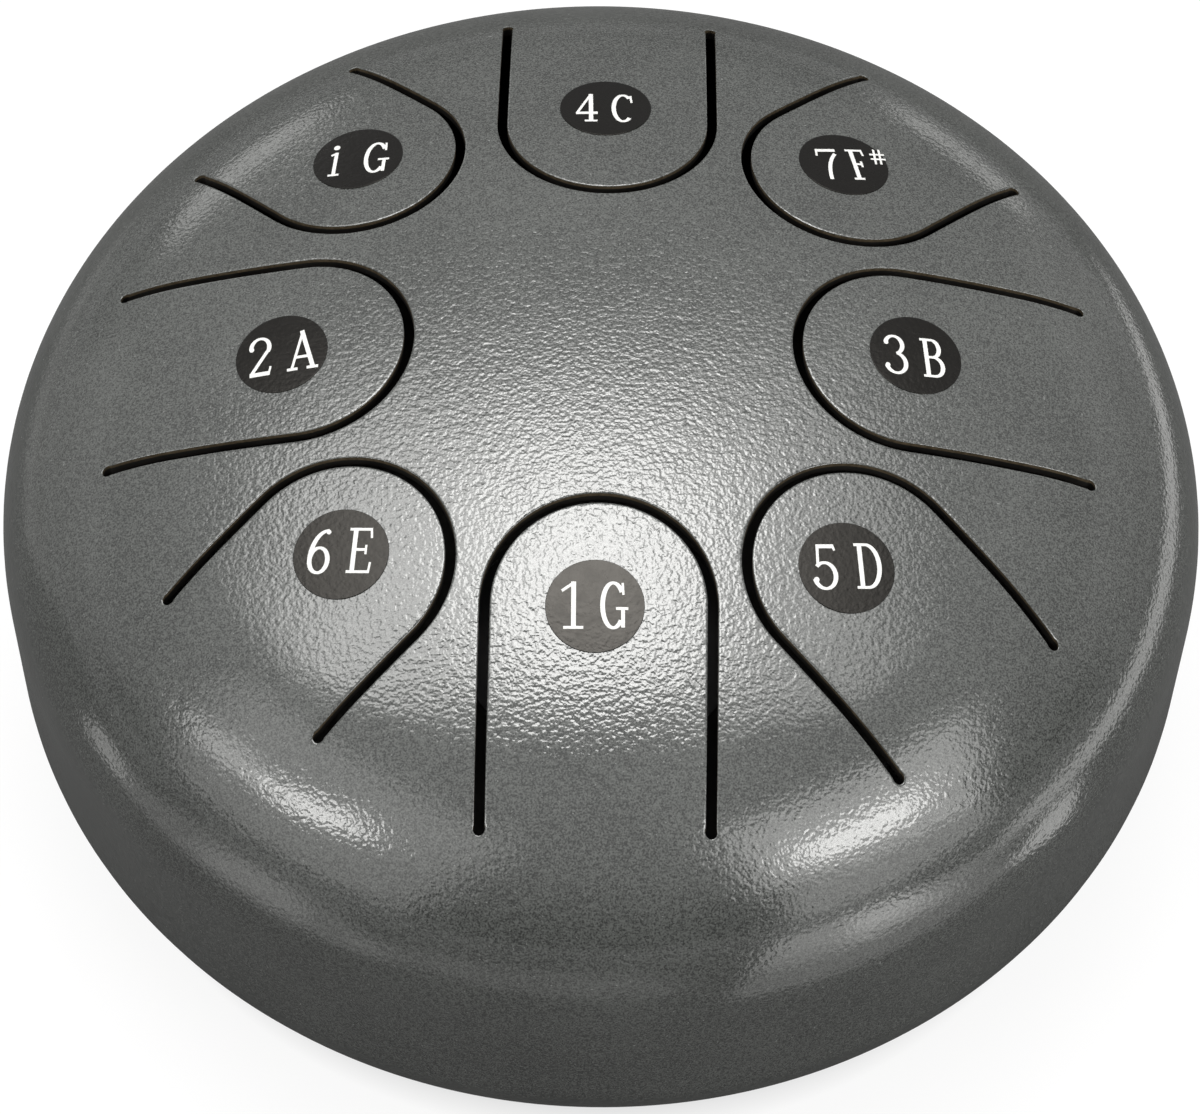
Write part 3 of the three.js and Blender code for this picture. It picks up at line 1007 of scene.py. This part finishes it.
def bare_inside_painted_shade():
    """Bare steel inside the drum, its near-black colour partly painted shade, so the inside seen through
    the slots stays dark.
    """
    look = Look("bare_inside_painted_shade", Metallic=0.2)
    patch = look.noise(size=6, detail=3)
    look.mottle(patch, dark=(0.011, 0.01, 0.009), light=(0.024, 0.022, 0.019))
    look.link(look.spread(patch, low=0.55, high=0.75), "Roughness")
    look.bump(look.noise(size=0.8), distance=0.03)
    return look.material


def label_vinyl():
    """Satin charcoal vinyl that follows the coat's peel a little."""
    look = Look("label_vinyl", Specular_IOR_Level=0.4, Specular_Tint=(1, 0.95, 0.88, 1))
    grain = look.noise(size=0.25, detail=2)
    look.mottle(grain, dark=(0.0024, 0.0023, 0.0022), light=(0.0042, 0.004, 0.0038))
    look.link(look.spread(look.noise(size=1.5), low=0.24, high=0.3), "Roughness")
    look.bump(look.add(look.noise(size=0.6, detail=1), grain, share=0.3), distance=0.035)
    return look.material


def white_ink():
    """Printed white."""
    look = Look("white_ink")
    grain = look.noise(size=0.3, detail=2)
    look.mottle(grain, dark=(0.76, 0.76, 0.74), light=(0.86, 0.86, 0.84))
    look.link(look.spread(grain, low=0.45, high=0.55), "Roughness")
    return look.material


def foot_rubber():
    """Matt black rubber."""
    look = Look("foot_rubber", Specular_IOR_Level=0.35)
    grain = look.noise(size=0.35, detail=3)
    look.mottle(grain, dark=(0.012, 0.012, 0.012), light=(0.022, 0.022, 0.021))
    look.link(look.spread(grain, low=0.65, high=0.85), "Roughness")
    look.bump(grain, distance=0.04)
    return look.material


def zinc_plate():
    """Bright zinc with a faint grain."""
    look = Look("zinc_plate", Metallic=1.0)
    grain = look.noise(size=0.4, detail=3)
    look.mottle(grain, dark=(0.46, 0.47, 0.49), light=(0.62, 0.63, 0.64))
    look.link(look.spread(grain, low=0.22, high=0.36), "Roughness")
    look.bump(grain, distance=0.008)
    return look.material


def add_piece(piece, node, body):
    """Stands a rigid piece for a node of the frame."""
    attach(piece, body)
    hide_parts(node)


def build_drum():
    """Every piece of the drum, on the body that carries it."""
    steel = [powder_coat(), cut_edge_painted_lit(), bare_inside_painted_shade()]
    vinyl, ink = label_vinyl(), white_ink()
    add_piece(upper_shell(steel), "upper_shell", "drum_shell")
    add_piece(lower_shell(steel), "lower_shell", "drum_shell")
    add_piece(weld_seam(steel), "weld_seam", "drum_shell")
    for tongue, (glyphs, turn) in zip(TONGUES, MARKS):
        body = f"tongue_{tongue.note}"
        piece = tongue_piece(tongue, steel)
        label_end = tongue.label @ tongue.along + LABEL_RADIUS + BEND_MARGIN
        end = dome_face(tongue.plan(np.array([[label_end, 0.0]])), WALL / 2)[0]
        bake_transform(piece)
        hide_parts(body)
        base = LabelFrame(tongue, math.radians(turn))
        add_piece(note_label(tongue, base, [vinyl]), f"note_label_{tongue.note}", body)
        marks = label_marks(tongue, base, glyphs, [ink])
        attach(marks, body)
    rubber, zinc = foot_rubber(), zinc_plate()
    for index, place in enumerate(foot_places()):
        number = index + 1
        add_piece(foot(number, place, [rubber]), f"foot_{number}", "drum_shell")
        add_piece(washer(number, place, [zinc]), f"foot_washer_{number}", "drum_shell")
        add_piece(screw(number, place, [zinc]), f"foot_screw_{number}", "drum_shell")


def add_camera():
    """The photograph's view."""
    data = bpy.data.cameras.new("camera")
    data.lens = CAMERA_LENS
    data.clip_start = CAMERA_NEAR
    camera = bpy.data.objects.new("camera", data)
    place, aim = Vector(CAMERA_PLACE) * MM, Vector(CAMERA_AIM) * MM
    camera.location = place
    camera.rotation_mode = "QUATERNION"
    roll = Quaternion((0, 0, 1), CAMERA_ROLL)
    camera.rotation_quaternion = (aim - place).to_track_quat("-Z", "Y") @ roll
    bpy.context.scene.collection.objects.link(camera)
    bpy.context.scene.camera = camera


# Studio, in metres: a soft room, a pale floor and softboxes where the photo's reflections show them
# The room brightens from low to high along its upward direction, between two heights
ROOM_LOW = 0.1
ROOM_HIGH = 0.54
ROOM_RISE = (0.0, 0.85)
ROOM_UP = (-0.08, 0.2, 0.975)

# The floor's glow makes it white. It starts outside the feet, and the drum mirrors it only far out.
FLOOR_REACH = 3.0
FLOOR_TONE = 0.15
FLOOR_LIFT = 0.88
UNDER_EDGE = (0.05, 0.07)
MIRROR_EDGE = (0.4, 2.0)

# Softboxes: the step keeps those that overlap out of one plane
LAYER_STEP = 0.01
LAMP_TINT = (1.0, 0.995, 0.978)
LAMP_POWER = 4  # of a softbox of 1 m2 that looks as bright as white

# Overhead softbox, as layers with a middle, a size and a brightness
OVERHEAD_HEIGHT = 0.6
OVERHEAD_LAYERS = [
    ((-0.04, 0.165), (0.66, 0.45), 1.0),
    ((-0.065, 0.115), (0.44, 0.3), 1.5),
    ((-0.008, 0.085), (0.19, 0.24), 3.0),
]

# Side softboxes: bearing from the front and rise in degrees, size, tilt in degrees and brightness
LAMP_DISTANCE = 0.85
SHOULDER_PLACE = 0.07
SHOULDER_HEIGHT = 0.058
SIDE_LAMPS = [
    (48, 35, (0.62, 0.53), -12, 1.3),  # front right
    (46, 33, (0.31, 0.18), -8, 3.65),
    (46, 9, (0.55, 0.3), 0, 0.85),
    (-48.5, 30, (0.75, 0.84), 0, 0.5),  # front left
    (-49, 34.5, (0.24, 0.13), 30, 3.8),
    (-66, 30, (0.2, 0.14), 30, 1.2),
    (-152, 12, (0.24, 0.14), 0, 0.9),  # behind
    (154, 4, (0.2, 0.1), 0, 0.9),
    (118, 12, (0.9, 0.4), 0, 0.14),  # faint, beside the drum
    (-108, 10, (0.7, 0.4), 0, 0.12),
]

# Pale patches of the table that the lower walls mirror: place, size, turn in degrees and brightness
CARD_HEIGHT = 0.002
CARD_STEP = 0.0004
FLOOR_CARDS = [
    ((0.23, 0.04), (0.1, 0.34), 0, 1.0),
    ((0.132, -0.067), (0.05, 0.022), -5, 1.15),
    ((0.158, -0.239), (0.095, 0.34), 30, 0.3),
    ((0.183, -0.249), (0.13, 0.3), 30, 0.3),
    ((0.194, -0.268), (0.13, 0.26), 30, 0.3),
    ((0.16, -0.195), (0.045, 0.2), 39, 0.4),
    ((0.172, -0.21), (0.035, 0.16), 39, 0.4),
    ((-0.03, -0.19), (0.12, 0.1), 0, 0.15),
    ((-0.19, -0.175), (0.12, 0.25), -47, 0.24),
    ((-0.165, -0.16), (0.05, 0.16), -47, 0.3),
    ((-0.17, -0.055), (0.06, 0.022), 8, 0.7),
    ((-0.28, 0.14), (0.24, 0.22), 0, 0.17),
]


def softbox(name, place, size, brightness, facing):
    """A rectangular light. Its brightness is what a mirror would show."""
    data = bpy.data.lights.new(name, "AREA")
    data.shape = "RECTANGLE"
    data.size, data.size_y = size
    data.energy = LAMP_POWER * size[0] * size[1] * brightness
    data.color = LAMP_TINT
    lamp = bpy.data.objects.new(name, data)
    lamp.location = place
    lamp.rotation_mode = "QUATERNION"
    lamp.rotation_quaternion = facing
    lamp.visible_camera = False
    bpy.context.scene.collection.objects.link(lamp)


def add_floor():
    """Pale floor that keeps the drum's shadow and shows as a white background."""
    half = FLOOR_REACH / 2
    corners = [(-half, -half, 0), (half, -half, 0), (half, half, 0), (-half, half, 0)]
    mesh = bpy.data.meshes.new("floor")
    mesh.from_pydata(corners, [], [(0, 1, 2, 3)])
    floor = bpy.data.objects.new("floor", mesh)
    bpy.context.scene.collection.objects.link(floor)
    look = Look("floor_white", Roughness=0.9, Specular_IOR_Level=0.0)
    look.shader.inputs["Base Color"].default_value = (FLOOR_TONE, FLOOR_TONE, FLOOR_TONE, 1)
    path = look.node("ShaderNodeLightPath").outputs
    distance = look.node("ShaderNodeVectorMath", [(0, look.place)], operation="LENGTH").outputs["Value"]
    far = look.spread(distance, 0, 1, *MIRROR_EDGE)
    mirrored = look.times(path["Is Glossy Ray"], far)
    seen = look.add(look.add(mirrored, path["Is Camera Ray"], 1), path["Is Transmission Ray"], 1)
    clear = look.spread(distance, 0, FLOOR_LIFT, *UNDER_EDGE)
    glow = look.node("ShaderNodeEmission", [("Strength", look.times(seen, clear))]).outputs[0]
    both = look.node("ShaderNodeAddShader", [(0, look.shader.outputs[0]), (1, glow)]).outputs[0]
    look.tree.links.new(both, look.tree.nodes["Material Output"].inputs["Surface"])
    mesh.materials.append(look.material)


def add_room():
    """Soft room light, brighter overhead and at the back than at the front."""
    world = bpy.data.worlds.new("room")
    world.use_nodes = True
    bpy.context.scene.world = world
    tree = world.node_tree
    place = tree.nodes.new("ShaderNodeTexCoord").outputs["Generated"]
    lean = tree.nodes.new("ShaderNodeVectorMath")
    lean.operation = "DOT_PRODUCT"
    lean.inputs[1].default_value = ROOM_UP
    tree.links.new(place, lean.inputs[0])
    rise = tree.nodes.new("ShaderNodeMapRange")
    sockets = ("From Min", "From Max", "To Min", "To Max")
    for socket, value in zip(sockets, (*ROOM_RISE, ROOM_LOW, ROOM_HIGH)):
        rise.inputs[socket].default_value = value
    tree.links.new(lean.outputs["Value"], rise.inputs["Value"])
    back = tree.nodes["Background"]
    back.inputs["Color"].default_value = (1, 1, 1, 1)
    tree.links.new(rise.outputs["Result"], back.inputs["Strength"])


def side_lamp(index, bearing, rise, size, tilt, brightness):
    """A softbox that faces the drum's shoulder on its own side."""
    turn, lift = math.radians(bearing), math.radians(rise)
    level_way = Vector((math.sin(turn), -math.cos(turn), 0))
    way = level_way * math.cos(lift) + Vector((0, 0, math.sin(lift)))
    aim = level_way * SHOULDER_PLACE + Vector((0, 0, SHOULDER_HEIGHT))
    facing = way.to_track_quat("Z", "Y") @ Quaternion((0, 0, 1), math.radians(tilt))
    place = aim + way * (LAMP_DISTANCE - index * LAYER_STEP)
    softbox(f"side_{index}", place, size, brightness, facing)


def add_lights():
    """Room light, the overhead softbox, the side softboxes and the table's patches."""
    add_room()
    for index, (middle, size, brightness) in enumerate(OVERHEAD_LAYERS):
        place = (*middle, OVERHEAD_HEIGHT - index * LAYER_STEP)
        softbox(f"overhead_{index}", place, size, brightness, Quaternion())
    for index, lamp in enumerate(SIDE_LAMPS):
        side_lamp(index, *lamp)
    upwards = Quaternion((1, 0, 0), math.pi)
    for index, (middle, size, turn, brightness) in enumerate(FLOOR_CARDS):
        place = (*middle, CARD_HEIGHT + index * CARD_STEP)
        facing = Quaternion((0, 0, 1), math.radians(turn)) @ upwards
        softbox(f"card_{index}", place, size, brightness, facing)


add_camera()
build_drum()
add_floor()
add_lights()
bpy.context.scene.view_settings.view_transform = "Standard"
